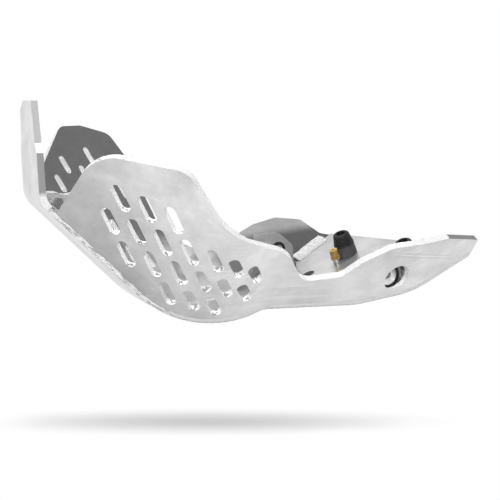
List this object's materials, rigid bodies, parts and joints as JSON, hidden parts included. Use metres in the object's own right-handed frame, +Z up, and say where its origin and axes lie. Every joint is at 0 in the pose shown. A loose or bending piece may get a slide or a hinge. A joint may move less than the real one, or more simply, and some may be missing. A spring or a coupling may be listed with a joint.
{
  "type": "motorcycle skid plate",
  "caption": "Welded aluminium belly guard with an upright front, flared slotted side panels, an inclined rear carrier with rubber bumpers and rubber mounted tabs.",
  "frame": {"origin": "on the underside of the belly, in the middle of its short flat and on the mid-plane of the centre strip", "axes": "+X to the rear of the motorcycle, -Y to its left side, +Z up"},
  "size_m": [0.4188, 0.291, 0.2005],
  "materials": {
    "raw_aluminium": "raw tumbled sheet with cloudy satin mottling and bright cut edges",
    "weld_aluminium": "rippled weld bead, as laid",
    "black_rubber": "matt moulded rubber",
    "yellow_zinc": "yellow passivated steel",
    "zinc_steel": "bright zinc plated steel"
  },
  "bodies": {
    "root": {"base_plate": "raw_aluminium", "bumper_nuts": "zinc_steel", "bumper_washers": "zinc_steel", "carrier_bolt_nut": "zinc_steel", "carrier_bolt_spacer": "zinc_steel", "carrier_bolt_washer": "zinc_steel", "carrier_flange_bolt": "yellow_zinc", "carrier_weld_seam": "weld_aluminium", "left_bumper_stud": "zinc_steel", "left_inner_weld_seam": "weld_aluminium", "left_mounting_tab": "raw_aluminium", "left_outer_weld_seam": "weld_aluminium", "left_rubber_bumper": "black_rubber", "left_side_panel": "raw_aluminium", "left_tab_bush": "zinc_steel", "left_tab_grommet": "black_rubber", "rear_carrier_plate": "raw_aluminium", "right_bumper_stud": "zinc_steel", "right_inner_weld_seam": "weld_aluminium", "right_mounting_tab": "raw_aluminium", "right_outer_weld_seam": "weld_aluminium", "right_rubber_bumper": "black_rubber", "right_side_panel": "raw_aluminium", "right_tab_bush": "zinc_steel", "right_tab_grommet": "black_rubber", "saddle_bolt": "zinc_steel", "saddle_bolt_nut": "zinc_steel", "saddle_bolt_washer": "zinc_steel", "saddle_bracket": "raw_aluminium"}
  },
  "joints": []
}
